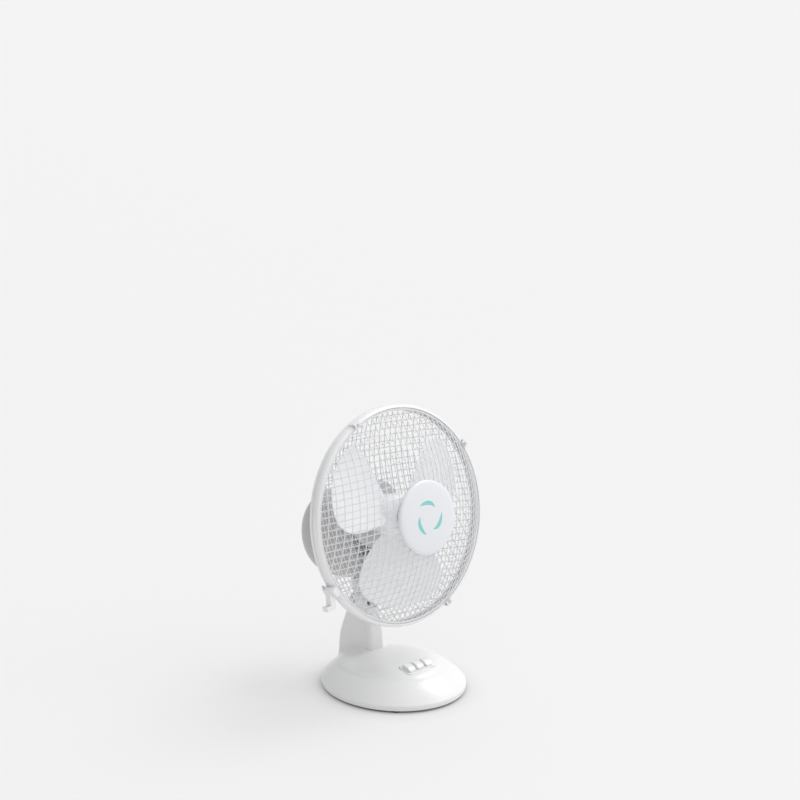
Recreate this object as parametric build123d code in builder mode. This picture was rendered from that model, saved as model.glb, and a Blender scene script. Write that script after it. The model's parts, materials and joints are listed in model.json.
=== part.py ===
from build123d import *
import os
from math import asin, cos, degrees, radians, sin, sqrt

# Desk fan with a 275 mm mesh guard, a head that tilts and oscillates, and three push keys.
# Units are millimetres. The table is z = 0, the fan blows towards -Y, and x = 0 is its middle.
# The head is drawn in its own directions: FORWARD along the blade axis and HEAD_UP along the
# swivel axis. "back" is a distance behind the middle of the guard, "up" one above the blade axis.

# ---------------------------------------------------------------- driving dimensions
TILT = 10.6             # how far the head leans back at rest, degrees
PIVOT_Y = 64.0          # tilt pivot in the top of the column
PIVOT_Z = 98.0
SWIVEL_BACK = 96.0      # swivel axis behind the middle of the guard
PIVOT_DROP = 113.0      # tilt pivot below the blade axis

RING_R = 137.5          # outside of the clamp ring round the guard
RING_HALF = 9.0         # half its depth
HOOP_R = 131.4          # wire hoop at the edge of each guard
HOOP_WIRE = 1.4
MESH_PITCH = 8.2        # square mesh of both guards
MESH_WIRE = 0.6         # wire radius
MESH_LINES = 15         # wires on each side of the middle one
FRONT_LEANS = (80.0, 4.0)       # directions of its two sets of wires, from +X
REAR_LEANS = (100.0, 176.0)
FRONT_APEX = -52.5      # where the front dome would reach its tip
FRONT_HOOP = -5.5
REAR_APEX = 47.0
REAR_HOOP = 5.5
BADGE_R = 46.0
PLATE_R = 42.0          # steel plate in the middle of each guard

BLADE_R = 114.0
BLADE_COUNT = 3
BLADE_FIRST = 25.0      # direction of the first blade at rest, degrees from +X
BLADE_BACK = 3.0        # the blades lie this far behind the middle of the guard
HUB_R = 27.0
SHAFT_R = 3.0

BASE_A = 87.0           # half width of the base
BASE_B = 97.0           # half length of the base
SKIRT_Z = 9.0           # top of its upright edge
DOME_Z = 38.5           # top of the dome
DOME_POWER = 3.4        # how flat the dome is
WALL = 2.6
FOOT_Z = 2.5            # the shell stands this far above the table
PLATE_TOP = 5.0         # upper face of the bottom plate

KEY_PITCH = 14.4
KEY_Y = -44.0
KEY_WIDTH = 9.8
KEY_LENGTH = 14.0
KEY_TRAVEL = 4.0
RUN = 0.05              # radial clearance of a turning fit
GAP = 0.3               # clearance between pieces that move past each other

# ---------------------------------------------------------------- directions and planes
FORWARD = Vector(0, -cos(radians(TILT)), sin(radians(TILT)))
HEAD_UP = Vector(0, sin(radians(TILT)), cos(radians(TILT)))
SIDE = Vector(1, 0, 0)
PIVOT = Vector(0, PIVOT_Y, PIVOT_Z)
HEAD_CENTRE = PIVOT + FORWARD * SWIVEL_BACK + HEAD_UP * PIVOT_DROP
BLADE_AXIS = Axis(HEAD_CENTRE, FORWARD)


def head_point(x, back, up):
    """A point given in the head's own directions."""
    return HEAD_CENTRE + SIDE * x - FORWARD * back + HEAD_UP * up


def across(back, up=0.0, x=0.0):
    """Plane square to the blade axis: local x is +X, local y is HEAD_UP, normal FORWARD."""
    return Plane(origin=head_point(x, back, up), x_dir=SIDE, z_dir=FORWARD)


def level(up, back=0.0, x=0.0):
    """Plane square to the swivel axis: local x is +X, local y points back, normal HEAD_UP."""
    return Plane(origin=head_point(x, back, up), x_dir=SIDE, z_dir=HEAD_UP)


def radial(angle):
    """Direction from the blade axis, seen from the front and measured from +X."""
    return SIDE * cos(radians(angle)) + HEAD_UP * sin(radians(angle))


def rim_plane(angle):
    """Plane through the blade axis: local x is the radius at this angle, local y is forward."""
    return Plane(origin=HEAD_CENTRE, x_dir=radial(angle), z_dir=-radial(angle + 90))


def turned(points, axis, plane):
    """A turned piece from its half section."""
    with BuildPart() as piece:
        with BuildSketch(plane):
            with BuildLine():
                Polyline(*points, close=True)
            make_face()
        revolve(axis=axis)
    return piece.part


def on_shaft(points):
    """A piece turned about the blade axis, its section given as (radius, back)."""
    return turned([(r, -back) for r, back in points], BLADE_AXIS, rim_plane(90))


def tube(outer, inner, front, rear):
    """A plain ring about the blade axis."""
    return on_shaft([(inner, front), (outer, front), (outer, rear), (inner, rear)])


def rod(radius, front, rear):
    """A plain round bar on the blade axis."""
    return on_shaft([(0, front), (radius, front), (radius, rear), (0, rear)])


def upright(radius, low, high, x, back, bore=0.0):
    """A round piece parallel to the swivel axis."""
    with BuildPart() as piece:
        with BuildSketch(level(low, back, x)):
            Circle(radius)
            if bore:
                Circle(bore, mode=Mode.SUBTRACT)
        extrude(amount=high - low)
    return piece.part


def save(part, name):
    """Names a finished piece and writes its file."""
    part.label = name
    export_step(part, os.path.join("parts", name + ".step"))


os.makedirs("parts", exist_ok=True)


# ---------------------------------------------------------------- base
def dome_height(share, crown):
    """Height of the dome where an oval of this share of its size crosses it."""
    return SKIRT_Z + (crown - SKIRT_Z) * (1 - share**DOME_POWER)


def base_solid(half_a, half_b, crown, bottom):
    """The closed body of the base: an upright skirt and a dome of oval sections."""
    with BuildPart() as body:
        with BuildSketch(Plane.XY.offset(bottom)):
            Ellipse(half_a - 0.8, half_b - 0.8)
        with BuildSketch(Plane.XY.offset(SKIRT_Z)):
            Ellipse(half_a, half_b)
        loft()
        for share in (1.0, 0.965, 0.91, 0.83, 0.72, 0.58, 0.4, 0.15):
            with BuildSketch(Plane.XY.offset(dome_height(share, crown))):
                Ellipse(half_a * share, half_b * share)
        loft()
    return body.part


def column_outline(front, rear, half_width):
    """Outline of the column in the sketch in progress."""
    with Locations((0, (front + rear) / 2)):
        RectangleRounded(2 * half_width, rear - front, 7)


BOSS_PLACES = [(-52, -48), (52, -48), (-58, 34), (58, 34)]
COLUMN_SCREWS = [(0, 46), (0, 78)]
COLUMN_FRONT = 29.5
COLUMN_REAR = 93.6
COLUMN_HALF = 14.0
INLET_Y = 34.0
INLET_Z = 9.8
INLET_R = 3.6
BEZEL_WIDTH = 45.0
BEZEL_FRONT = -54.0
BEZEL_REAR = -32.0
BEZEL_LOW = 30.0

with BuildPart() as base_shell:
    add(base_solid(BASE_A, BASE_B, DOME_Z, FOOT_Z))
    add(base_solid(BASE_A - WALL, BASE_B - WALL, DOME_Z - WALL, FOOT_Z), mode=Mode.SUBTRACT)
    with BuildSketch(Plane.XY.offset(PLATE_TOP + GAP)):
        with Locations(*BOSS_PLACES):
            Circle(4)
    extrude(amount=17)
    with BuildSketch(Plane.XY.offset(PLATE_TOP)):
        with Locations(*BOSS_PLACES):
            Circle(1.5)
    extrude(amount=12, mode=Mode.SUBTRACT)
    with BuildSketch(Plane.XY.offset(SKIRT_Z - 0.6)):
        column_outline(COLUMN_FRONT - GAP, COLUMN_REAR + GAP, COLUMN_HALF + GAP)
    extrude(amount=DOME_Z, mode=Mode.SUBTRACT)
    with BuildSketch(Plane.XY.offset(DOME_Z - 16)):
        with Locations((0, (BEZEL_FRONT + BEZEL_REAR) / 2)):
            RectangleRounded(BEZEL_WIDTH, BEZEL_REAR - BEZEL_FRONT, 5)
    extrude(amount=30, mode=Mode.SUBTRACT)
    with BuildSketch(Plane.YZ.offset(70)):
        with Locations((INLET_Y, INLET_Z)):
            Circle(INLET_R)
    extrude(amount=30, mode=Mode.SUBTRACT)
save(base_shell.part, "base_shell")

with BuildPart() as base_plate:
    with BuildSketch(Plane.XY.offset(FOOT_Z)):
        Ellipse(BASE_A - WALL - 1.2, BASE_B - WALL - 1.2)
        with Locations(*BOSS_PLACES, *COLUMN_SCREWS):
            Circle(1.7, mode=Mode.SUBTRACT)
        with Locations((-40, 10), (-40, 20), (40, 10), (40, 20)):
            SlotOverall(22, 3, mode=Mode.SUBTRACT)
    extrude(amount=PLATE_TOP - FOOT_Z)
save(base_plate.part, "base_plate")

BALLAST_TOP = 14.0
with BuildPart() as ballast_weight:
    with BuildSketch(Plane.XY.offset(PLATE_TOP)):
        with Locations((0, -40)):
            RectangleRounded(84, 62, 16)
    extrude(amount=BALLAST_TOP - PLATE_TOP)
    chamfer(ballast_weight.edges().group_by(Axis.Z)[-1], length=1)
save(ballast_weight.part, "ballast_weight")

# Four feet near the corners and a pad under the middle of the plate.
with BuildPart() as rubber_feet:
    with BuildSketch(Plane.XY):
        with Locations((-54, -62), (54, -62), (-56, 58), (56, 58)):
            Circle(8)
        Circle(6)
    extrude(amount=FOOT_Z)
    chamfer(rubber_feet.edges().group_by(Axis.Z)[0], length=0.8)
save(rubber_feet.part, "rubber_feet")


def base_fasteners(places, length):
    """Pan-head screws driven up through the bottom plate."""
    with BuildPart() as screws:
        with BuildSketch(Plane.XY.offset(FOOT_Z - 1.6)):
            with Locations(*places):
                Circle(3)
        extrude(amount=1.6)
        with BuildSketch(Plane.XY.offset(FOOT_Z)):
            with Locations(*places):
                Circle(1.5)
        extrude(amount=length)
    return screws.part


save(base_fasteners(BOSS_PLACES, 12), "base_screws")
save(base_fasteners(COLUMN_SCREWS, 9), "column_screws")

# Cord inlet: a bush in the right flank of the base.
with BuildPart() as cord_inlet:
    with BuildSketch(Plane.YZ.offset(70)):
        with Locations((INLET_Y, INLET_Z)):
            Circle(INLET_R)
            Circle(2.6, mode=Mode.SUBTRACT)
    extrude(amount=15)
save(cord_inlet.part, "cord_inlet")

with BuildPart() as terminal_block:
    with BuildSketch(Plane.XY.offset(PLATE_TOP)):
        with Locations((44, 42)):
            Rectangle(12, 26)
    extrude(amount=11)
    with BuildSketch(Plane.XY.offset(PLATE_TOP + 5)):
        with Locations((44, 34), (44, 42), (44, 50)):
            Circle(2)
    extrude(amount=6, mode=Mode.SUBTRACT)
save(terminal_block.part, "terminal_block")

# ---------------------------------------------------------------- keys
KEY_BOTTOM = 28.0       # underside of a key that is up
FLANGE_TOP = KEY_BOTTOM + 1.4
SWITCH_TOP = KEY_BOTTOM - KEY_TRAVEL - 0.5
key_x = [KEY_PITCH * place for place in (-1, 0, 1)]

with BuildPart() as switch_body:
    with BuildSketch(Plane.XY.offset(BALLAST_TOP)):
        with Locations((0, KEY_Y)):
            RectangleRounded(46, 20, 2)
    extrude(amount=SWITCH_TOP - BALLAST_TOP)
save(switch_body.part, "switch_body")

with BuildPart() as key_bezel:
    with BuildSketch(Plane.XY.offset(BEZEL_LOW)):
        with Locations((0, (BEZEL_FRONT + BEZEL_REAR) / 2)):
            RectangleRounded(BEZEL_WIDTH, BEZEL_REAR - BEZEL_FRONT, 5)
    extrude(amount=12)
    with BuildSketch(Plane.YZ.offset(-BEZEL_WIDTH / 2)):
        with BuildLine():
            Polyline(
                (BEZEL_FRONT, BEZEL_LOW), (BEZEL_FRONT, 35.2), (BEZEL_REAR - 4.5, 38.4),
                (BEZEL_REAR - 3, 40.4), (BEZEL_REAR, 39.4), (BEZEL_REAR, BEZEL_LOW), close=True,
            )
        make_face()
    extrude(amount=BEZEL_WIDTH, mode=Mode.INTERSECT)
    with BuildSketch(Plane.XY.offset(25)):
        with Locations(*[(x, KEY_Y) for x in key_x]):
            RectangleRounded(KEY_WIDTH + 2 * GAP, KEY_LENGTH + 2 * GAP, 2)
    extrude(amount=30, mode=Mode.SUBTRACT)
save(key_bezel.part, "key_bezel")

for index, x in enumerate(key_x):
    with BuildPart() as key:
        with BuildSketch(Plane.YZ.offset(x - KEY_WIDTH / 2)):
            with BuildLine():
                half = KEY_LENGTH / 2
                ThreePointArc((KEY_Y - half, 38.4), (KEY_Y, 42.4), (KEY_Y + half, 42.4))
                Polyline((KEY_Y + half, 42.4), (KEY_Y + half, FLANGE_TOP), (KEY_Y - half, FLANGE_TOP))
                Line((KEY_Y - half, FLANGE_TOP), (KEY_Y - half, 38.4))
            make_face()
        extrude(amount=KEY_WIDTH)
        fillet(key.edges().filter_by(Axis.Z), radius=1.8)
        with BuildSketch(Plane.XY.offset(KEY_BOTTOM)):
            with Locations((x, KEY_Y)):
                Rectangle(KEY_WIDTH + 1.6, KEY_LENGTH + 3)
        extrude(amount=FLANGE_TOP - KEY_BOTTOM)
    save(key.part, "key_" + str(index))

# ---------------------------------------------------------------- column
COLUMN_SECTIONS = [  # height, front, rear, half width
    (PLATE_TOP, COLUMN_FRONT, COLUMN_REAR, COLUMN_HALF),
    (14.0, COLUMN_FRONT, COLUMN_REAR - 0.2, COLUMN_HALF),
    (40.0, 29.5, 91.0, 13.6),
    (65.0, 31.5, 84.5, 13.1),
    (90.0, 37.5, 75.5, 12.7),
    (101.0, 41.5, 72.5, 12.4),
    (107.0, 46.0, 69.0, 11.0),
]
FORK_X = 9.6            # half width of the slot in the top of the column
SLOT_FLOOR = 86.0
PIN_R = 2.5
HEAD_SEAT = 11.2        # the heads of the tilt pin sit at this x

with BuildPart() as column:
    for height, front, rear, half_width in COLUMN_SECTIONS:
        with BuildSketch(Plane.XY.offset(height)):
            column_outline(front, rear, half_width)
    loft()
    for height, front, rear, half_width in COLUMN_SECTIONS[:4]:
        with BuildSketch(Plane.XY.offset(height)):
            column_outline(front + WALL, rear - WALL, half_width - WALL)
    loft(mode=Mode.SUBTRACT)
    with BuildSketch(Plane.XY.offset(PLATE_TOP)):
        with Locations(*COLUMN_SCREWS):
            Rectangle(2 * COLUMN_HALF - 3, 9)
    extrude(amount=8)
    with BuildSketch(Plane.XY.offset(PLATE_TOP)):
        with Locations(*COLUMN_SCREWS):
            Circle(1.5)
    extrude(amount=7, mode=Mode.SUBTRACT)
    with BuildSketch(Plane.XY.offset(SLOT_FLOOR)):
        with Locations((0, 70)):
            Rectangle(2 * FORK_X, 38)
    extrude(amount=30, mode=Mode.SUBTRACT)
    with BuildSketch(Plane.XZ.offset(-53)):
        with Locations((0, 98)):
            RectangleRounded(14, 12, 1.5)
    extrude(amount=30, mode=Mode.SUBTRACT)
    with BuildSketch(Plane.YZ):
        with Locations((PIVOT_Y, PIVOT_Z)):
            Circle(PIN_R)
    extrude(amount=20, both=True, mode=Mode.SUBTRACT)
    for seat in (HEAD_SEAT, -HEAD_SEAT - 6):
        with BuildSketch(Plane.YZ.offset(seat)):
            with Locations((PIVOT_Y, PIVOT_Z)):
                Circle(5.2)
        extrude(amount=6, mode=Mode.SUBTRACT)
save(column.part, "column")

with BuildPart() as tilt_pin:
    with BuildSketch(Plane.YZ.offset(-HEAD_SEAT)):
        with Locations((PIVOT_Y, PIVOT_Z)):
            Circle(PIN_R)
    extrude(amount=2 * HEAD_SEAT)
    with BuildSketch(Plane.YZ.offset(-HEAD_SEAT - 2)):
        with Locations((PIVOT_Y, PIVOT_Z)):
            Circle(4.6)
    extrude(amount=2)
save(tilt_pin.part, "tilt_pin")

with BuildPart() as tilt_nut:
    with BuildSketch(Plane.YZ.offset(HEAD_SEAT)):
        with Locations((PIVOT_Y, PIVOT_Z)):
            RegularPolygon(radius=4.9, side_count=6)
    extrude(amount=2.2)
save(tilt_nut.part, "tilt_nut")

# ---------------------------------------------------------------- neck
KNUCKLE_R = 9.0
KNUCKLE_HALF = 7.4
STEM_R = 6.5
STEM_TOP = -86.0        # the stem ends this far below the blade axis, the spindle goes on
SPINDLE_R = 4.0
SPINDLE_TOP = -33.0
ANCHOR_REACH = 12.0     # link pin behind the swivel axis
ANCHOR_LOW = -36.0

with BuildPart() as neck:
    with BuildSketch(Plane.YZ):
        with Locations((PIVOT_Y, PIVOT_Z)):
            Circle(KNUCKLE_R)
    extrude(amount=KNUCKLE_HALF, both=True)
    with BuildSketch(level(-PIVOT_DROP, SWIVEL_BACK)):
        Circle(STEM_R)
    extrude(amount=PIVOT_DROP + STEM_TOP)
    with BuildSketch(level(STEM_TOP, SWIVEL_BACK)):
        Circle(SPINDLE_R)
    extrude(amount=SPINDLE_TOP - STEM_TOP)
    with BuildSketch(Plane.YZ):
        with Locations((PIVOT_Y, PIVOT_Z)):
            Circle(PIN_R + RUN)
    extrude(amount=KNUCKLE_HALF, both=True, mode=Mode.SUBTRACT)
save(neck.part, "neck")

with BuildPart() as tilt_washers:
    for low in (-FORK_X + GAP, KNUCKLE_HALF):
        with BuildSketch(Plane.YZ.offset(low)):
            with Locations((PIVOT_Y, PIVOT_Z)):
                Circle(8)
                Circle(PIN_R + RUN, mode=Mode.SUBTRACT)
        extrude(amount=FORK_X - GAP - KNUCKLE_HALF)
save(tilt_washers.part, "tilt_washers")

# The arm on top of the spindle carries the fixed pin of the oscillation link.
with BuildPart() as anchor_arm:
    with BuildSketch(level(ANCHOR_LOW, SWIVEL_BACK)):
        Circle(5.6)
        with Locations((0, ANCHOR_REACH)):
            Circle(4)
        with Locations((0, ANCHOR_REACH / 2)):
            Rectangle(8, ANCHOR_REACH)
        Circle(SPINDLE_R, mode=Mode.SUBTRACT)
    extrude(amount=3)
    with BuildSketch(level(ANCHOR_LOW + 3, SWIVEL_BACK)):
        with Locations((0, ANCHOR_REACH)):
            Circle(2)
    extrude(amount=9)
save(anchor_arm.part, "anchor_arm")
save(upright(5.2, SPINDLE_TOP, SPINDLE_TOP + 1.2, 0, SWIVEL_BACK), "spindle_clip")

# ---------------------------------------------------------------- motor housing
HOUSING_FRONT = 47.0
HOUSING_SPLIT = 78.0
HOUSING_REAR = 166.0
HOUSING_SECTIONS = [  # back, height of its middle, half width, half height
    (47.0, -21.0, 39.5, 50.5),
    (58.0, -23.0, 45.5, 55.0),
    (78.0, -25.0, 49.0, 57.5),
    (100.0, -26.2, 49.4, 58.0),
    (123.0, -27.0, 47.5, 56.5),
    (144.0, -28.0, 40.0, 48.5),
    (157.0, -29.0, 28.0, 35.0),
    (166.0, -29.0, 12.0, 15.0),
]
TUBE_R = 14.0           # threaded tube that carries the guards
TUBE_FRONT = 35.0
MOUNT_FACE = 45.0       # the rear guard's plate bears on this face


def shell_body(sections, thinner):
    """A closed body through oval sections, each smaller by a given amount."""
    with BuildPart() as body:
        for back, middle, half_x, half_up in sections:
            with BuildSketch(across(back, middle)):
                Ellipse(half_x - thinner, half_up - thinner)
        loft()
    return body.part


vent_places = [(x, up) for x in range(-24, 25, 8) for up in (-42, -57)]
with BuildPart() as housing_front:
    add(shell_body(HOUSING_SECTIONS[:3], 0))
    add(shell_body(HOUSING_SECTIONS[:3], WALL), mode=Mode.SUBTRACT)
    with BuildSketch(across(HOUSING_FRONT + WALL, -21)):
        Ellipse(39, 50)
    extrude(amount=WALL)
    with BuildSketch(across(MOUNT_FACE + 6)):
        Circle(24)
    extrude(amount=6)
    with BuildSketch(across(MOUNT_FACE)):
        Circle(TUBE_R)
    extrude(amount=MOUNT_FACE - TUBE_FRONT)
    with BuildSketch(across(60)):
        Circle(9)
    extrude(amount=40, mode=Mode.SUBTRACT)
    with BuildSketch(across(HOUSING_FRONT + 4)):
        with Locations(*vent_places):
            SlotOverall(11, 2.4, rotation=90)
    extrude(amount=8, mode=Mode.SUBTRACT)
save(housing_front.part, "housing_front")

with BuildPart() as housing_rear:
    add(shell_body(HOUSING_SECTIONS[2:], 0))
    inner_sections = HOUSING_SECTIONS[2:-1] + [(163.0, -29.0, 18.0, 22.0)]
    add(shell_body(inner_sections, WALL), mode=Mode.SUBTRACT)
    with BuildSketch(level(-100, SWIVEL_BACK)):
        Circle(10)
    extrude(amount=50, mode=Mode.SUBTRACT)
    with BuildSketch(level(10, SWIVEL_BACK)):
        Circle(6.5)
    extrude(amount=40, mode=Mode.SUBTRACT)
    with BuildSketch(across(170, -29)):
        with GridLocations(7, 14, 5, 3):
            SlotOverall(10, 2.4, rotation=90)
    extrude(amount=30, mode=Mode.SUBTRACT)
save(housing_rear.part, "housing_rear")

# ---------------------------------------------------------------- motor
BEARING_R = 7.5
MOTOR_R = 25.0
STATOR_FRONT = 58.0
STATOR_REAR = 74.0
ROTOR_R = 14.7
SCREW_SPOTS = [(-14.9, -14.9), (14.9, -14.9), (-14.9, 14.9), (14.9, 14.9)]


def plate_across(front, thick, bore, holes):
    """A round plate of the motor with a bored middle and screw holes."""
    with BuildPart() as plate:
        with BuildSketch(across(front + thick)):
            Circle(MOTOR_R)
            Circle(bore, mode=Mode.SUBTRACT)
            with Locations(*SCREW_SPOTS):
                Circle(holes, mode=Mode.SUBTRACT)
        extrude(amount=thick)
    return plate.part


save(plate_across(51.0, 2.5, BEARING_R, 1.6), "motor_front_bracket")
save(plate_across(79.5, 2.5, BEARING_R, 1.6), "motor_rear_bracket")
save(plate_across(STATOR_FRONT, STATOR_REAR - STATOR_FRONT, 15.2, 1.6), "stator_core")
with BuildPart() as windings:
    add(tube(17.5, 15.6, 53.6, STATOR_FRONT))
    add(tube(17.5, 15.6, STATOR_REAR, 79.4))
save(windings.part, "windings")
save(tube(BEARING_R, SHAFT_R + RUN, 50.5, 54.0), "front_bearing")
save(tube(BEARING_R, SHAFT_R + RUN, 79.0, 82.4), "rear_bearing")

with BuildPart() as motor_screws:
    with BuildSketch(across(83.6)):
        with Locations(*SCREW_SPOTS):
            Circle(1.6)
    extrude(amount=83.6 - 51.0)
    with BuildSketch(across(84)):
        with Locations(*SCREW_SPOTS):
            Circle(2.8)
    extrude(amount=2)
save(motor_screws.part, "motor_screws")

# ---------------------------------------------------------------- oscillation gearbox
CASE_LOW = -17.0        # underside of the gearbox
CASE_HIGH = 8.0
CASE_FRONT = 86.0
CASE_REAR = 131.0
CASE_LEFT = -31.5
CASE_RIGHT = 11.5
SLEEVE_LOW = -76.0
SLEEVE_HIGH = -36.5
WHEEL_X = -13.0         # worm wheel and its pinion
WHEEL_BACK = 97.0
CRANK_X = -15.0         # crank gear
CRANK_BACK = 114.8
CRANK_ARM = 6.9
case_x = (CASE_LEFT + CASE_RIGHT) / 2
case_back = (CASE_FRONT + CASE_REAR) / 2

with BuildPart() as gearbox_case:
    with BuildSketch(level(CASE_LOW, case_back, case_x)):
        RectangleRounded(CASE_RIGHT - CASE_LEFT, CASE_REAR - CASE_FRONT, 9)
    extrude(amount=CASE_HIGH - CASE_LOW)
    with BuildSketch(level(CASE_LOW + 3, case_back, case_x)):
        RectangleRounded(CASE_RIGHT - CASE_LEFT - 4, CASE_REAR - CASE_FRONT - 4, 7)
    extrude(amount=40, mode=Mode.SUBTRACT)
    with BuildSketch(level(SLEEVE_LOW, CASE_FRONT + 2)):
        with Locations((0, 0)):
            Rectangle(18, 4)
    extrude(amount=CASE_LOW - SLEEVE_LOW + 1)
    with BuildSketch(level(SLEEVE_LOW, SWIVEL_BACK)):
        Circle(8.5)
    extrude(amount=SLEEVE_HIGH - SLEEVE_LOW)
    with BuildSketch(level(SLEEVE_LOW - 1, SWIVEL_BACK)):
        Circle(SPINDLE_R + RUN)
    extrude(amount=SLEEVE_HIGH - SLEEVE_LOW + 2, mode=Mode.SUBTRACT)
    with BuildSketch(across(CASE_FRONT + 10)):
        Circle(SHAFT_R + RUN)
    extrude(amount=20, mode=Mode.SUBTRACT)
    with BuildSketch(level(CASE_LOW - 1)):
        with Locations((CRANK_X, CRANK_BACK)):
            Circle(2.5 + RUN)
    extrude(amount=10, mode=Mode.SUBTRACT)
save(gearbox_case.part, "gearbox_case")

with BuildPart() as gearbox_cover:
    with BuildSketch(level(CASE_HIGH, case_back, case_x)):
        RectangleRounded(CASE_RIGHT - CASE_LEFT, CASE_REAR - CASE_FRONT, 9)
    extrude(amount=2)
    with BuildSketch(level(CASE_HIGH - 1)):
        with Locations((0, SWIVEL_BACK)):
            Circle(3)
        with Locations((WHEEL_X, WHEEL_BACK)):
            Circle(2 + RUN)
    extrude(amount=5, mode=Mode.SUBTRACT)
save(gearbox_cover.part, "gearbox_cover")


def gear(teeth, radius, depth, low, high, x, back):
    """A spur wheel with small square teeth, upright in the gearbox."""
    points = []
    for count in range(teeth):
        for share, rim in ((0.0, radius), (0.4, radius), (0.5, radius - depth), (0.9, radius - depth)):
            turn = radians(360 * (count + share) / teeth)
            points.append((rim * cos(turn), rim * sin(turn)))
    with BuildPart() as wheel:
        with BuildSketch(level(low, back, x)):
            with BuildLine():
                Polyline(*points, close=True)
            make_face()
        extrude(amount=high - low)
    return wheel.part


with BuildPart() as worm_wheel:
    add(gear(24, 8.7, 1.0, -3.0, 3.0, WHEEL_X, WHEEL_BACK))
    add(gear(10, 4.2, 0.8, -12.5, -3.0, WHEEL_X, WHEEL_BACK))
    add(upright(2.0, 3.0, 12.0, WHEEL_X, WHEEL_BACK))
save(worm_wheel.part, "worm_wheel")

with BuildPart() as crank_gear:
    add(gear(32, 13.4, 1.0, -12.0, -6.0, CRANK_X, CRANK_BACK))
    add(upright(2.5, -17.3, -12.0, CRANK_X, CRANK_BACK))
    add(upright(9.5, -20.5, -17.3, CRANK_X, CRANK_BACK))
    add(upright(2.0, -23.5, -20.5, CRANK_X, CRANK_BACK - CRANK_ARM))
save(crank_gear.part, "crank_gear")

with BuildPart() as link_arm:
    with BuildSketch(level(-28.0)):
        with Locations((0, SWIVEL_BACK + ANCHOR_REACH), (CRANK_X, CRANK_BACK - CRANK_ARM)):
            Circle(4)
        with Locations((CRANK_X / 2, SWIVEL_BACK + ANCHOR_REACH)):
            Rectangle(-CRANK_X, 5)
        with Locations((0, SWIVEL_BACK + ANCHOR_REACH)):
            Circle(2 + RUN, mode=Mode.SUBTRACT)
        with Locations((CRANK_X, CRANK_BACK - CRANK_ARM)):
            Circle(2.2, mode=Mode.SUBTRACT)
    extrude(amount=3)
save(link_arm.part, "link_arm")

# Knob that engages the oscillation when pushed down: its stem runs through the housing top.
with BuildPart() as clutch_knob:
    add(upright(2.7, 12.0, 41.0, 0, SWIVEL_BACK))
    add(upright(6.2, 30.0, 47.0, 0, SWIVEL_BACK))
save(clutch_knob.part, "clutch_knob")

# ---------------------------------------------------------------- shaft and blade
save(rod(SHAFT_R, -16.0, 108.0), "shaft")
save(tube(ROTOR_R, SHAFT_R, STATOR_FRONT, STATOR_REAR), "rotor_core")

with BuildPart() as worm:
    add(tube(3.9, SHAFT_R, 90.0, 104.0))
save(worm.part, "worm")

BLADE_SECTIONS = [  # distance from the axis, chord, pitch, thickness
    (17.0, 36.0, 32.0, 4.0),
    (34.0, 65.0, 27.0, 3.0),
    (56.0, 99.0, 22.0, 2.4),
    (79.0, 119.0, 17.0, 2.0),
    (97.0, 105.0, 14.5, 1.8),
    (107.5, 73.0, 13.5, 1.6),
    (BLADE_R, 28.0, 13.0, 1.4),
]
with BuildPart() as fan_blade:
    for number in range(BLADE_COUNT):
        direction = BLADE_FIRST + number * 360 / BLADE_COUNT
        for reach, chord, pitch, thick in BLADE_SECTIONS:
            lean = radial(direction + 90) * cos(radians(pitch)) + FORWARD * sin(radians(pitch))
            middle = HEAD_CENTRE + radial(direction) * reach - FORWARD * BLADE_BACK
            with BuildSketch(Plane(origin=middle, x_dir=lean, z_dir=radial(direction))):
                RectangleRounded(chord, thick, thick * 0.45)
        loft()
    add(on_shaft([(0, -9), (18, -9), (24, -6), (HUB_R, 0), (HUB_R, 22), (0, 22)]))
    add(tube(24.5, 9.0, 8.0, 23.0), mode=Mode.SUBTRACT)
    add(rod(SHAFT_R, -20.0, 30.0), mode=Mode.SUBTRACT)
save(fan_blade.part, "fan_blade")
nut_points = [(SHAFT_R, -9), (12, -9), (12, -14), (9, -19), (4, -21.5), (0, -22), (0, -16), (SHAFT_R, -16)]
save(on_shaft(nut_points), "blade_nut")


# ---------------------------------------------------------------- guards
def guard_family(sphere, apex, rim, hub, lean, lift):
    """One direction of a mesh dome: plain arcs of a sphere, cut short at the middle plate."""
    centre_back = apex + sphere if apex < 0 else apex - sphere
    toward = 1 if apex < 0 else -1
    ball = sphere + lift
    with BuildPart() as family:
        for line in range(-MESH_LINES, MESH_LINES + 1):
            offset = line * MESH_PITCH
            far = sqrt(rim**2 - offset**2)
            arc_r = sqrt(ball**2 - offset**2)
            start = degrees(asin(far / arc_r))
            stop = 0.0
            if abs(offset) < hub:
                stop = degrees(asin(sqrt(hub**2 - offset**2) / arc_r))
            spans = [(-start, start)] if stop == 0.0 else [(-start, -stop), (stop, start)]
            side = radial(lean)
            shift = radial(lean - 90)
            middle = HEAD_CENTRE + shift * offset - FORWARD * centre_back
            ahead = FORWARD * toward
            for low, high in spans:
                begin = middle + (ahead * cos(radians(low)) + side * sin(radians(low))) * arc_r
                heading = side * cos(radians(low)) - ahead * sin(radians(low))
                turn_axis = Axis(middle, ahead.cross(side))
                with BuildSketch(Plane(origin=begin, x_dir=shift, z_dir=heading)):
                    Circle(MESH_WIRE)
                revolve(axis=turn_axis, revolution_arc=high - low)
    return family.part


def guard_wires(sphere, apex, leans, lift):
    """Both sets of wires of one guard, the level ones lying behind the upright ones."""
    with BuildPart() as wires:
        add(guard_family(sphere, apex, HOOP_R, PLATE_R, leans[0], 0.0))
        add(guard_family(sphere, apex, HOOP_R, PLATE_R, leans[1], lift))
    return wires.part


def hoop(back):
    """Round wire hoop at the edge of a guard."""
    with BuildPart() as ring:
        with BuildSketch(rim_plane(90)):
            with Locations((HOOP_R, -back)):
                Circle(HOOP_WIRE)
        revolve(axis=BLADE_AXIS)
    return ring.part


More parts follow.
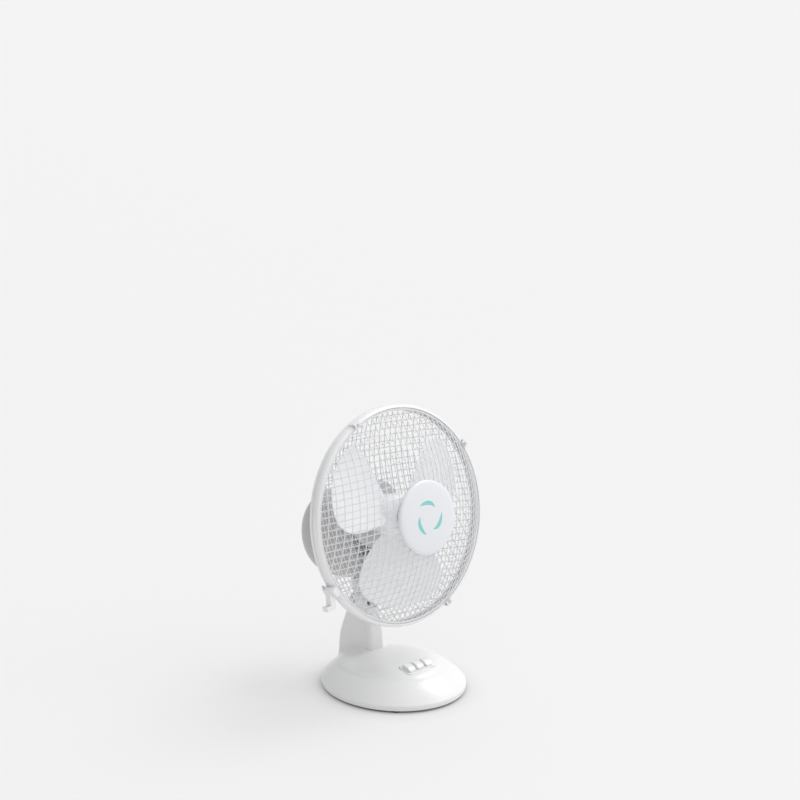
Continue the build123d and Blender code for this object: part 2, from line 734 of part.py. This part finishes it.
FRONT_SPHERE = (HOOP_R**2 + (FRONT_HOOP - FRONT_APEX) ** 2) / (2 * (FRONT_HOOP - FRONT_APEX))
REAR_SPHERE = (HOOP_R**2 + (REAR_APEX - REAR_HOOP) ** 2) / (2 * (REAR_APEX - REAR_HOOP))
WIRE_STEP = 2 * MESH_WIRE + 0.04
save(guard_wires(FRONT_SPHERE, FRONT_APEX, FRONT_LEANS, -WIRE_STEP), "front_guard_wires")
save(guard_wires(REAR_SPHERE, REAR_APEX, REAR_LEANS, WIRE_STEP), "rear_guard_wires")
save(hoop(FRONT_HOOP), "front_guard_hoop")
save(hoop(REAR_HOOP), "rear_guard_hoop")

# Plate in the middle of the rear guard, held on the housing's tube by a large nut.
save(on_shaft([(TUBE_R, 43.2), (PLATE_R + 0.5, 41.2), (PLATE_R + 0.5, 45.0), (TUBE_R, 45.0)]), "guard_plate")
with BuildPart() as guard_nut:
    add(tube(22.0, TUBE_R, 36.0, 41.0))
    with BuildSketch(across(41.0)):
        with PolarLocations(22.0, 6):
            Circle(4)
    extrude(amount=5)
    add(rod(TUBE_R, 30.0, 43.0), mode=Mode.SUBTRACT)
save(guard_nut.part, "guard_nut")

# Badge in the middle of the front guard and the plate behind it.
badge_points = [(0, -56), (20, -55.3), (36, -53.3), (BADGE_R - 1, -51.2), (BADGE_R, -50)]
save(on_shaft(badge_points + [(BADGE_R - 2, -49.4), (36, -51.4), (0, -53.8)]), "badge")
badge_plate_points = [(0, -53.8), (36, -51.4), (PLATE_R + 0.5, -49.6), (PLATE_R + 0.5, -45.6), (0, -50.0)]
save(on_shaft(badge_plate_points), "badge_plate")

# Clamp ring: a rear part that carries the latch and a front part with the rounded edge.
LATCH_ANGLE = 208.0
CLIP_ANGLES = (30.0, 114.0, 295.0)
LATCH_PIN_R = 142.0     # distance of the latch pin from the blade axis
LATCH_PIN_BACK = 6.0
rear_ring_points = [(133.0, 2.6), (RING_R, 2.6), (RING_R, 7.5), (RING_R - 1.5, RING_HALF), (133.0, RING_HALF)]
with BuildPart() as rear_guard_ring:
    add(on_shaft(rear_ring_points))
    for offset in (-7.5, 7.5):
        shift = radial(LATCH_ANGLE + 90) * offset
        plane = Plane(origin=HEAD_CENTRE + shift, x_dir=radial(LATCH_ANGLE), z_dir=-radial(LATCH_ANGLE + 90))
        with BuildSketch(plane):
            with Locations(((RING_R + LATCH_PIN_R) / 2, -LATCH_PIN_BACK)):
                Rectangle(LATCH_PIN_R - RING_R + 4, 5.6)
            with Locations((LATCH_PIN_R, -LATCH_PIN_BACK)):
                Circle(1.2, mode=Mode.SUBTRACT)
        extrude(amount=1.2, both=True)
save(rear_guard_ring.part, "rear_guard_ring")

front_ring_points = [
    (133.0, 2.0), (RING_R, 2.0), (RING_R, -5.0), (RING_R - 1.5, -7.8), (RING_R - 4, -RING_HALF),
    (133.0, -RING_HALF),
]
save(on_shaft(front_ring_points), "front_guard_ring")

with BuildPart() as latch_pin:
    with BuildSketch(Plane(origin=HEAD_CENTRE, x_dir=radial(LATCH_ANGLE), z_dir=-radial(LATCH_ANGLE + 90))):
        with Locations((LATCH_PIN_R, -LATCH_PIN_BACK)):
            Circle(1.2)
    extrude(amount=9.2, both=True)
save(latch_pin.part, "latch_pin")

with BuildPart() as guard_latch:
    with BuildSketch(rim_plane(LATCH_ANGLE)):
        with BuildLine():
            Polyline(
                (RING_R + 0.6, -7.6), (RING_R + 0.6, RING_HALF + 0.6), (136.4, RING_HALF + 0.6),
                (136.4, RING_HALF + 2.6), (143, RING_HALF + 2.6), (144.4, RING_HALF), (144.4, -7.6), close=True,
            )
        make_face()
        with Locations((LATCH_PIN_R, -LATCH_PIN_BACK)):
            Circle(1.2 + RUN, mode=Mode.SUBTRACT)
    extrude(amount=5.6, both=True)
    with BuildSketch(across(2)):
        with BuildLine():
            Polyline(
                (-130, -63), (-124, -63.5), (-123.4, -84), (-126, -88), (-136.5, -88), (-138, -82), (-131, -82),
                close=True,
            )
        make_face()
    extrude(amount=9)
save(guard_latch.part, "guard_latch")

CLIP_R = 135.6          # distance of the clip screws from the blade axis
with BuildPart() as ring_clips:
    for angle in CLIP_ANGLES:
        with BuildSketch(rim_plane(angle)):
            with BuildLine():
                Polyline(
                    (RING_R, -1), (139.3, -1), (139.3, 9.6), (138.6, 10.4), (133.4, 10.4), (133.4, RING_HALF),
                    (RING_R, RING_HALF), close=True,
                )
            make_face()
        extrude(amount=4.5, both=True)
        with BuildSketch(Plane(origin=HEAD_CENTRE + radial(angle) * CLIP_R, z_dir=FORWARD)):
            Circle(1)
        extrude(amount=14, mode=Mode.SUBTRACT)
save(ring_clips.part, "ring_clips")

with BuildPart() as clip_screws:
    for angle in CLIP_ANGLES:
        axis_foot = HEAD_CENTRE + radial(angle) * CLIP_R
        with BuildSketch(Plane(origin=axis_foot + FORWARD * RING_HALF, z_dir=FORWARD)):
            Circle(1)
        extrude(amount=1.4)
        with BuildSketch(Plane(origin=axis_foot + FORWARD * 10.4, z_dir=FORWARD)):
            Circle(1.9)
        extrude(amount=0.9)
save(clip_screws.part, "clip_screws")
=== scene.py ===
import bpy
import json
from math import atan2, cos, pi, radians, sin, sqrt
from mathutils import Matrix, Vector


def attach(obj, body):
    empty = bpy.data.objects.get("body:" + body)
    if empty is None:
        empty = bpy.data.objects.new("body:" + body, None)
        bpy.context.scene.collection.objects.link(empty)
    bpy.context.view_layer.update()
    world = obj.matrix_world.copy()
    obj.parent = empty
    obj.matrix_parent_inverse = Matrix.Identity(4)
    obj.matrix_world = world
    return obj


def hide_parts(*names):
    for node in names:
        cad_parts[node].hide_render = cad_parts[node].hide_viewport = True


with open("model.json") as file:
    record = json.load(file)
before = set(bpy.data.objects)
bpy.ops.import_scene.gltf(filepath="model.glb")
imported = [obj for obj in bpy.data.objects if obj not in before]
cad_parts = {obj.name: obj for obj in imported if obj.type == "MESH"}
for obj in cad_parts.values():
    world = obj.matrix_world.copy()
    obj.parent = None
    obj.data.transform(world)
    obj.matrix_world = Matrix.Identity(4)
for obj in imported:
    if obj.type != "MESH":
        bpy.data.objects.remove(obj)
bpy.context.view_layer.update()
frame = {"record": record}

# ------------------------------------------------------------------ camera and studio
# One long lens from the front left, a little above the fan, over a pale floor. A broad sun
# stands in for the window light, a small softbox adds a highlight, and a sky that is brighter
# towards the window fills the shadows.
MM = 0.001
CAMERA_TURN = radians(-43.3)
CAMERA_RISE = radians(15.0)
CAMERA_FAR = 2.5
AIM_SIDE = 8.4                      # how far the aim lies beside the fan's axis, in mm
AIM_HEIGHT = 372.3
aim = Vector((AIM_SIDE * cos(CAMERA_TURN), AIM_SIDE * sin(CAMERA_TURN), AIM_HEIGHT)) * MM
back = Vector((
    sin(CAMERA_TURN) * cos(CAMERA_RISE),
    -cos(CAMERA_TURN) * cos(CAMERA_RISE),
    sin(CAMERA_RISE),
))
bpy.ops.object.camera_add(location=aim + back * CAMERA_FAR)
camera = bpy.context.object
camera.name = "view_camera"
camera.rotation_euler = back.to_track_quat("Z", "Y").to_euler()
camera.data.sensor_width = 36
camera.data.lens = 92.3
camera.data.clip_end = 100
bpy.context.scene.camera = camera
bpy.context.scene.view_settings.view_transform = "Standard"

sky = bpy.data.worlds.new("window_sky")
sky.use_nodes = True
nodes, links = sky.node_tree.nodes, sky.node_tree.links
direction = nodes.new("ShaderNodeTexCoord")
toward = nodes.new("ShaderNodeVectorMath")
toward.operation = "DOT_PRODUCT"
toward.inputs[1].default_value = Vector((0.60, -0.25, 0.75)).normalized()
links.new(direction.outputs["Generated"], toward.inputs[0])
glow = nodes.new("ShaderNodeMapRange")
glow.inputs["From Min"].default_value = -1.0
glow.inputs["To Min"].default_value = 0.0
glow.inputs["To Max"].default_value = 1.22
links.new(toward.outputs["Value"], glow.inputs["Value"])
links.new(glow.outputs["Result"], nodes["Background"].inputs["Strength"])
nodes["Background"].inputs["Color"].default_value = (0.985, 0.99, 1.0, 1)
bpy.context.scene.world = sky

bpy.ops.object.light_add(type="SUN", location=(2, -2, 3))
sun = bpy.context.object
sun.name = "window_light"
sun.data.energy = 0.7
sun.data.angle = radians(30)
sun.data.color = (1.0, 0.99, 0.97)
sun.rotation_euler = Vector((0.62, -0.10, 0.85)).to_track_quat("Z", "Y").to_euler()

bpy.ops.object.light_add(type="AREA", location=(0.9, -1.3, 1.4))
softbox = bpy.context.object
softbox.name = "softbox"
softbox.data.size = 0.5
softbox.data.energy = 1.5
softbox.rotation_euler = (softbox.location - Vector((0, 0, 0.15))).to_track_quat("Z", "Y").to_euler()


# Materials: every plastic has faint clouding, a fine moulded grain and a roughness that varies.
def skin_group():
    group = bpy.data.node_groups.new("moulded_skin", "ShaderNodeTree")
    for name, kind, value in (("Colour", "NodeSocketColor", (0.8, 0.8, 0.8, 1)),
                              ("Roughness", "NodeSocketFloat", 0.3),
                              ("Clouding", "NodeSocketFloat", 0.03),
                              ("Grain", "NodeSocketFloat", 0.1)):
        socket = group.interface.new_socket(name=name, in_out="INPUT", socket_type=kind)
        socket.default_value = value
    group.interface.new_socket(name="Colour", in_out="OUTPUT", socket_type="NodeSocketColor")
    group.interface.new_socket(name="Roughness", in_out="OUTPUT", socket_type="NodeSocketFloat")
    group.interface.new_socket(name="Height", in_out="OUTPUT", socket_type="NodeSocketFloat")
    nodes, links = group.nodes, group.links
    entry = nodes.new("NodeGroupInput")
    leave = nodes.new("NodeGroupOutput")
    place = nodes.new("ShaderNodeTexCoord")
    cloud = nodes.new("ShaderNodeTexNoise")
    cloud.inputs["Scale"].default_value = 22
    cloud.inputs["Detail"].default_value = 4
    fine = nodes.new("ShaderNodeTexNoise")
    fine.inputs["Scale"].default_value = 1400
    fine.inputs["Detail"].default_value = 3
    links.new(place.outputs["Object"], cloud.inputs["Vector"])
    links.new(place.outputs["Object"], fine.inputs["Vector"])
    centred = nodes.new("ShaderNodeMath")
    centred.operation = "SUBTRACT"
    centred.inputs[1].default_value = 0.5
    links.new(cloud.outputs["Fac"], centred.inputs[0])
    amount = nodes.new("ShaderNodeMath")
    amount.operation = "MULTIPLY_ADD"
    amount.inputs[2].default_value = 1.0
    links.new(centred.outputs[0], amount.inputs[0])
    links.new(entry.outputs["Clouding"], amount.inputs[1])
    tint = nodes.new("ShaderNodeVectorMath")
    tint.operation = "SCALE"
    links.new(entry.outputs["Colour"], tint.inputs[0])
    links.new(amount.outputs[0], tint.inputs["Scale"])
    links.new(tint.outputs["Vector"], leave.inputs["Colour"])
    rough = nodes.new("ShaderNodeMath")
    rough.operation = "MULTIPLY_ADD"
    rough.inputs[1].default_value = 0.12
    links.new(centred.outputs[0], rough.inputs[0])
    links.new(entry.outputs["Roughness"], rough.inputs[2])
    links.new(rough.outputs[0], leave.inputs["Roughness"])
    height = nodes.new("ShaderNodeMath")
    height.operation = "MULTIPLY"
    links.new(fine.outputs["Fac"], height.inputs[0])
    links.new(entry.outputs["Grain"], height.inputs[1])
    links.new(height.outputs[0], leave.inputs["Height"])
    return group


SKIN = skin_group()


def surface(name, colour, roughness, clouding=0.03, grain=0.1, metallic=0.0, coat=0.0, subsurface=0.0):
    """A material built on the shared skin; returns it with its shader and its colour socket."""
    material = bpy.data.materials.new(name)
    material.use_nodes = True
    nodes, links = material.node_tree.nodes, material.node_tree.links
    shader = nodes["Principled BSDF"]
    skin = nodes.new("ShaderNodeGroup")
    skin.node_tree = SKIN
    skin.name = "skin"
    skin.inputs["Colour"].default_value = (*colour, 1)
    skin.inputs["Roughness"].default_value = roughness
    skin.inputs["Clouding"].default_value = clouding
    skin.inputs["Grain"].default_value = grain
    links.new(skin.outputs["Colour"], shader.inputs["Base Color"])
    links.new(skin.outputs["Roughness"], shader.inputs["Roughness"])
    bump = nodes.new("ShaderNodeBump")
    bump.inputs["Strength"].default_value = 0.35
    bump.inputs["Distance"].default_value = 0.0002
    links.new(skin.outputs["Height"], bump.inputs["Height"])
    links.new(bump.outputs["Normal"], shader.inputs["Normal"])
    shader.inputs["Metallic"].default_value = metallic
    shader.inputs["Coat Weight"].default_value = coat
    shader.inputs["Coat Roughness"].default_value = 0.12
    shader.inputs["Subsurface Weight"].default_value = subsurface
    shader.inputs["Subsurface Radius"].default_value = (0.004, 0.004, 0.004)
    return material


white_shell = surface("white_shell", (0.83, 0.83, 0.83), 0.30, 0.02, 0.12, coat=0.25)
white_gloss = surface("white_gloss", (0.86, 0.86, 0.865), 0.20, 0.02, 0.05, coat=0.4)
# painted shade: a grey standing for white plastic in the shade behind the guards; the housing, the
# clutch knob and the spinner share it
shade_painted_grey = surface("shade_painted_grey", (0.47, 0.468, 0.465), 0.36, 0.04, 0.3)
blade_milk = surface("blade_milk", (0.90, 0.915, 0.93), 0.2, 0.03, 0.04, coat=0.4, subsurface=0.3)
# light that comes through the thin blades makes them look milky, which a faint glow stands for
milk = blade_milk.node_tree.nodes["Principled BSDF"]
milk.inputs["Emission Color"].default_value = (0.93, 0.97, 1.0, 1)
milk.inputs["Emission Strength"].default_value = 0.05
wire_paint = surface("wire_paint", (0.80, 0.80, 0.81), 0.30, 0.05, 0.4, coat=0.2)
zinc = surface("zinc", (0.60, 0.61, 0.63), 0.32, 0.12, 0.3, metallic=1.0)
lamination = surface("lamination", (0.16, 0.16, 0.17), 0.5, 0.2, 1.0, metallic=0.8)
copper = surface("copper_wire", (0.55, 0.22, 0.09), 0.3, 0.2, 1.0, metallic=1.0)
acetal = surface("acetal", (0.80, 0.77, 0.68), 0.4, 0.04, 0.2)
black_part = surface("black_part", (0.03, 0.03, 0.032), 0.5, 0.1, 0.5)
foot_rubber = surface("foot_rubber", (0.035, 0.035, 0.036), 0.75, 0.2, 1.0)
floor_paper = surface("floor_paper", (0.44, 0.44, 0.44), 0.9, 0.004, 0.0)
# the paper has a faint painted glow, as if lit from below, and a painted contact shadow where the base
# almost touches it, where ambient occlusion dims the glow
paper = floor_paper.node_tree.nodes["Principled BSDF"]
painted_contact_shadow = floor_paper.node_tree.nodes.new("ShaderNodeAmbientOcclusion")
painted_contact_shadow.samples = 8
painted_contact_shadow.inputs["Distance"].default_value = 0.03
glow_with_painted_shadow = floor_paper.node_tree.nodes.new("ShaderNodeMath")
glow_with_painted_shadow.operation = "MULTIPLY"
glow_with_painted_shadow.inputs[1].default_value = 0.39
floor_paper.node_tree.links.new(painted_contact_shadow.outputs["AO"], glow_with_painted_shadow.inputs[0])
floor_paper.node_tree.links.new(glow_with_painted_shadow.outputs[0], paper.inputs["Emission Strength"])
paper.inputs["Emission Color"].default_value = (1, 1, 1, 1)

bpy.ops.mesh.primitive_plane_add(size=60)
floor = bpy.context.object
floor.name = "floor"
floor.data.materials.append(floor_paper)

# ------------------------------------------------------------------ helpers for the making
# Sizes are in mm and turned into metres by MM. A piece of the head is made upright, along Z, and
# then turned and moved onto the blade axis by seat().
TILT = 10.6
HEAD_TURN = radians(90 - TILT)      # turns a piece made upright so that it points along the blade axis
joints = {joint["name"]: joint for joint in frame["record"]["behaviour"]["joints"]}
HEAD = Vector(joints["blade_spin"]["pos_m"])


def clear():
    bpy.ops.object.select_all(action="DESELECT")


def modify(piece, kind, **settings):
    """Adds one modifier with its settings and applies it."""
    clear()
    piece.select_set(True)
    bpy.context.view_layer.objects.active = piece
    bpy.ops.object.modifier_add(type=kind)
    modifier = piece.modifiers[-1]
    for key, value in settings.items():
        setattr(modifier, key, value)
    bpy.ops.object.modifier_apply(modifier=modifier.name)


def seat(piece, turn=0.0, place=(0, 0, 0)):
    """Turns a piece about X, moves it into place, and puts its origin back at the world's."""
    clear()
    piece.select_set(True)
    bpy.context.view_layer.objects.active = piece
    piece.rotation_euler = (turn, 0, 0)
    piece.location = place
    bpy.ops.object.transform_apply(location=True, rotation=True, scale=True)


def finish(piece, name, material, body, *nodes, sharp=35):
    """Names, smooths and paints a piece, and says what it rides on and stands for."""
    clear()
    piece.select_set(True)
    bpy.context.view_layer.objects.active = piece
    bpy.ops.object.mode_set(mode="EDIT")
    bpy.ops.mesh.select_all(action="SELECT")
    bpy.ops.mesh.remove_doubles(threshold=0.00001)
    bpy.ops.mesh.normals_make_consistent(inside=False)
    bpy.ops.object.mode_set(mode="OBJECT")
    bpy.ops.object.shade_smooth_by_angle(angle=radians(sharp))
    piece.name = name
    piece.data.name = name
    piece.data.materials.clear()
    piece.data.materials.append(material)
    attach(piece, body)
    if nodes:
        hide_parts(*nodes)


def lathe(profile, sides=96, closed=False):
    """A turned piece: a circle extruded and scaled along a profile of (radius, height) in mm."""
    clear()
    radius, height = profile[0]
    bpy.ops.mesh.primitive_circle_add(vertices=sides, radius=radius * MM)
    piece = bpy.context.object
    bpy.ops.object.mode_set(mode="EDIT")
    bpy.ops.mesh.select_all(action="SELECT")
    bpy.ops.transform.translate(value=(0, 0, height * MM))
    steps = profile[1:] + profile[:1] if closed else profile[1:]
    for next_radius, next_height in steps:
        rise = (next_height - height) * MM
        bpy.ops.mesh.extrude_region_move(TRANSFORM_OT_translate={"value": (0, 0, rise)})
        share = max(next_radius, 0.001) / radius
        bpy.ops.transform.resize(value=(share, share, 1), center_override=(0, 0, next_height * MM))
        radius, height = max(next_radius, 0.001), next_height
    bpy.ops.mesh.select_all(action="SELECT")
    bpy.ops.mesh.remove_doubles(threshold=0.00002)
    bpy.ops.mesh.normals_make_consistent(inside=False)
    bpy.ops.object.mode_set(mode="OBJECT")
    return piece


def block(size, place, bevel=0.0, segments=3):
    """A box with rounded edges, sizes and place in mm."""
    clear()
    bpy.ops.mesh.primitive_cube_add(size=1, location=Vector(place) * MM)
    piece = bpy.context.object
    piece.scale = Vector(size) * MM
    bpy.ops.object.transform_apply(location=True, rotation=True, scale=True)
    if bevel:
        modify(piece, "BEVEL", width=bevel * MM, segments=segments, limit_method="NONE")
    return piece


def repaint(material, *names):
    """Gives carried-over CAD nodes their material."""
    for name in names:
        piece = bpy.data.objects[name]
        piece.data.materials.clear()
        piece.data.materials.append(material)


# ------------------------------------------------------------------ base
# A moulded oval shell of white polystyrene: an upright skirt, a soft crease and a flat
# dome. The upper deck is raised a hair above it and sweeps up round the foot of the column.
BASE_A = 87.0
BASE_B = 97.0
SKIRT = 9.0
CROWN = 38.5


def dome(share):
    return SKIRT + (CROWN - SKIRT) * (1 - share**3.4)


rim = [(95.6, 3.6), (97.0, 2.5), (99.0, 2.5), (99.4, 3.2), (99.9, 6.5), (100.0, 8.4), (99.6, 9.5)]
steps = (0.985, 0.965, 0.94, 0.905, 0.86, 0.8, 0.73, 0.64, 0.54, 0.43, 0.31, 0.19, 0.08)
DECK_STEP = 1.8
FLARE = 7.0                         # how far the deck sweeps up at the column's foot
COLUMN_Y = 66                       # middle of the column's foot
base = lathe(rim + [(share * 100, dome(share)) for share in steps] + [(0, CROWN)], sides=128)
base.scale = (BASE_A / 100, BASE_B / 100, 1)
bpy.ops.object.transform_apply(location=True, rotation=True, scale=True)
modify(base, "SUBSURF", levels=2, render_levels=2)
for vertex in base.data.vertices:
    spot = vertex.co / MM
    if spot.z > SKIRT + 1:
        # the flare round the column's foot, and the step at the edge of the upper deck
        beside = max(abs(spot.x) - 10, 0) / 17
        beyond = max(abs(spot.y - COLUMN_Y) - 24, 0) / 15
        away = sqrt(beside**2 + beyond**2)
        flare = FLARE * max(0.0, 1 - away) ** 2 * min(1.0, (spot.z - SKIRT - 1) / 12)
        inside = 1 - sqrt((spot.x / 61) ** 2 + ((spot.y - 8) / 70) ** 2)
        fade = min(1.0, max(0.0, (0.85 - atan2(spot.x + 30, 90 - spot.y) / 1.6)))
        ledge = DECK_STEP * fade * min(1.0, max(0.0, inside * 45 + 0.5))
        vertex.co.z += (flare + ledge) * MM
well = block((45.6, 22.6, 42), (0, -43.0, 37), 4.5)
modify(base, "BOOLEAN", object=well, operation="DIFFERENCE", solver="EXACT")
bpy.data.objects.remove(well)
finish(base, "base_cover", white_shell, "base", "base_shell", sharp=40)
repaint(black_part, "base_plate", "switch_body", "terminal_block", "cord_inlet")
repaint(foot_rubber, "rubber_feet")
repaint(zinc, "ballast_weight", "base_screws", "column_screws", "tilt_pin", "tilt_nut")
repaint(white_gloss, "key_bezel", "key_0", "key_1", "key_2")

# ------------------------------------------------------------------ column and neck
# A hollow fin at the back of the base, moulded in the same white and screwed up from below. A slot
# in its top takes the knuckle of the neck, and its nose has a small window. The neck is a plain
# round stem, held by a steel pin between two acetal washers.
repaint(white_shell, "column", "neck")
repaint(acetal, "tilt_washers")
repaint(zinc, "anchor_arm", "spindle_clip")

# ------------------------------------------------------------------ motor and gearbox
# Inside the housing: a laminated stator with its coils, two zinc brackets and the acetal gearbox,
# held together by four long screws. The housing is two white mouldings, painted grey for the shade it
# sits in behind the guard.
repaint(zinc, "motor_front_bracket", "motor_rear_bracket", "front_bearing", "rear_bearing")
repaint(zinc, "motor_screws", "shaft")
repaint(lamination, "stator_core", "rotor_core")
repaint(copper, "windings")
repaint(acetal, "gearbox_case", "gearbox_cover", "worm", "worm_wheel", "crank_gear", "link_arm")
repaint(shade_painted_grey, "housing_front", "housing_rear", "clutch_knob")

# ------------------------------------------------------------------ fan blade
# One moulding of milky polystyrene: three broad paddles with round tips, each a sheet bent from
# a flat grid, thickened and smoothed, on a hub shaped like an upturned cup.
FIRST_BLADE = 25.0
BLADE_BACK = 3.0                    # how far the middle of a blade lies behind the head's centre
BLADE_THICKNESS = 1.7
outline = (  # distance from the axis, half chord, pitch in degrees, camber
    (19.0, 18.5, 32.0, 2.0), (31.0, 30.0, 28.0, 3.0), (46.0, 42.5, 24.5, 4.0), (62.0, 53.0, 20.5, 4.5),
    (78.0, 59.0, 17.2, 4.5), (93.0, 55.5, 15.0, 4.0), (103.5, 44.0, 14.0, 3.0), (110.5, 28.0, 13.4, 1.5),
    (114.4, 11.0, 13.0, 0.3),
)
for number in range(3):
    clear()
    bpy.ops.mesh.primitive_grid_add(x_subdivisions=12, y_subdivisions=len(outline) - 1, size=1)
    paddle = bpy.context.object
    turn = radians(FIRST_BLADE + 120 * number)
    for vertex in paddle.data.vertices:
        row = round((vertex.co.y + 0.5) * (len(outline) - 1))
        reach, half, pitch, camber = outline[row]
        along = vertex.co.x * 2 * half
        bow = camber * (1 - (2 * vertex.co.x) ** 2)
        side = along * cos(radians(pitch)) + bow * sin(radians(pitch))
        ahead = along * sin(radians(pitch)) - bow * cos(radians(pitch)) - BLADE_BACK
        across = reach * cos(turn) - side * sin(turn)
        up = reach * sin(turn) + side * cos(turn)
        vertex.co = Vector((across, up, ahead)) * MM
    modify(paddle, "SOLIDIFY", thickness=BLADE_THICKNESS * MM, offset=0.0)
    modify(paddle, "SUBSURF", levels=2, render_levels=2)
    seat(paddle, HEAD_TURN, HEAD)
    finish(paddle, "blade_paddle_%d" % (number + 1), blade_milk, "rotor", sharp=60)
hub = lathe([
    (3.0, 10.5), (17.5, 10.5), (21.5, 9.6), (24.0, 7.4), (25.6, 4.0), (26.4, 0.0), (27.0, -21.0),
    (26.6, -22.0), (25.0, -22.0), (24.6, -21.0), (24.0, 0.0), (20.5, 6.5), (3.0, 7.4),
], closed=True)
seat(hub, HEAD_TURN, HEAD)
finish(hub, "blade_hub", blade_milk, "rotor", "fan_blade")
nut = lathe([
    (3.2, 9.0), (12.0, 9.0), (12.4, 9.8), (12.2, 13.6), (10.6, 17.6), (8.0, 20.2), (4.5, 21.6),
    (0, 22.0),
], sides=64)
NUT_FLUTES = 12
FLUTE_DEPTH = 0.035                 # as a share of the radius
for spot in nut.data.vertices:
    angle = atan2(spot.co.y, spot.co.x)
    if spot.co.length > 8 * MM:
        spot.co.xy *= 1 - FLUTE_DEPTH * (1 + cos(NUT_FLUTES * angle))
seat(nut, HEAD_TURN, HEAD)
finish(nut, "blade_spinner", shade_painted_grey, "rotor", "blade_nut")

# ------------------------------------------------------------------ guards
# Two domes of white-coated mesh, each of two sets of steel wires welded to a hoop. The glossy
# clamp ring is two turned mouldings that close over the hoops, with a groove where they meet.
repaint(wire_paint, "front_guard_wires", "rear_guard_wires", "guard_plate")
repaint(wire_paint, "front_guard_hoop", "rear_guard_hoop")
repaint(white_gloss, "guard_nut", "badge_plate")
rear_ring = lathe([
    (133.2, -2.6), (136.4, -2.6), (137.2, -3.2), (137.3, -5.9), (136.9, -6.9), (136.0, -7.6),
    (135.0, -7.8), (133.6, -7.8), (133.2, -7.4),
], sides=192, closed=True)
seat(rear_ring, HEAD_TURN, HEAD)
finish(rear_ring, "ring_rear", white_gloss, "head", "rear_guard_ring")
front_ring = lathe([
    (133.2, -1.6), (136.4, -1.6), (137.4, -0.8), (137.5, 2.6), (137.1, 4.4), (136.2, 6.0),
    (134.9, 7.2), (133.8, 7.6), (133.2, 7.2), (133.0, 6.0),
], sides=192, closed=True)
seat(front_ring, HEAD_TURN, HEAD)
finish(front_ring, "ring_front", white_gloss, "head", "front_guard_ring")

# ------------------------------------------------------------------ badge
# A shallow moulded cap that snaps to the middle of the front guard, with three turquoise arcs
# printed on it. The arcs are worked out from the distance and the angle round the blade's axis.
badge_white = surface("badge_white", (0.80, 0.81, 0.835), 0.22, 0.015, 0.05, coat=0.5)
nodes, links = badge_white.node_tree.nodes, badge_white.node_tree.links
place = nodes.new("ShaderNodeTexCoord")
centre = nodes.new("ShaderNodeVectorMath")
centre.operation = "SUBTRACT"
centre.inputs[1].default_value = HEAD
links.new(place.outputs["Object"], centre.inputs[0])
offsets = []
for axis in ((1, 0, 0), (0, sin(radians(TILT)), cos(radians(TILT)))):
    dot = nodes.new("ShaderNodeVectorMath")
    dot.operation = "DOT_PRODUCT"
    dot.inputs[1].default_value = axis
    links.new(centre.outputs["Vector"], dot.inputs[0])
    offsets.append(dot.outputs["Value"])


def step(operation, first, second=None, third=None):
    """One Math node in the badge's material; numbers are set, sockets are linked."""
    node = nodes.new("ShaderNodeMath")
    node.operation = operation
    for index, value in enumerate((first, second, third)):
        if value is None:
            continue
        if isinstance(value, (int, float)):
            node.inputs[index].default_value = value
        else:
            links.new(value, node.inputs[index])
    return node.outputs[0]


radius = step("SQRT", step("ADD", step("POWER", offsets[0], 2.0), step("POWER", offsets[1], 2.0)))
angle = step("ARCTAN2", offsets[1], offsets[0])
swirl = step("MULTIPLY_ADD", radius, 90.0, angle)
thirds = step("FRACT", step("MULTIPLY", swirl, 3 / (2 * pi)))
middle = step("MULTIPLY_ADD", thirds, 0.0065, 0.0150)
width = step("MULTIPLY", step("SINE", step("MULTIPLY", thirds, pi)), 0.0021)
band = step("LESS_THAN", step("ABSOLUTE", step("SUBTRACT", radius, middle)), width)
front = step("LESS_THAN", radius, 0.04)
mark = step("MULTIPLY", band, front)
ink = nodes.new("ShaderNodeMix")
ink.data_type = "RGBA"
ink.inputs["B"].default_value = (0.24, 0.62, 0.60, 1)
links.new(mark, ink.inputs["Factor"])
links.new(nodes["skin"].outputs["Colour"], ink.inputs["A"])
links.new(ink.outputs["Result"], nodes["Principled BSDF"].inputs["Base Color"])
badge = lathe([
    (44.0, 49.4), (45.4, 49.5), (46.0, 50.4), (46.0, 51.6), (45.5, 52.9), (44.3, 53.8),
    (42.0, 54.4), (36.0, 55.0), (27.0, 55.5), (17.0, 55.85), (8.0, 56.0), (0, 56.0),
], sides=128)
seat(badge, HEAD_TURN, HEAD)
finish(badge, "badge_cap", badge_white, "head", "badge")

# ------------------------------------------------------------------ latch and clips
# A moulded latch turns on a steel pin in the rear ring, and three clips with a small screw each
# hold the two rings together.
repaint(white_gloss, "guard_latch", "ring_clips")
repaint(zinc, "latch_pin", "clip_screws")
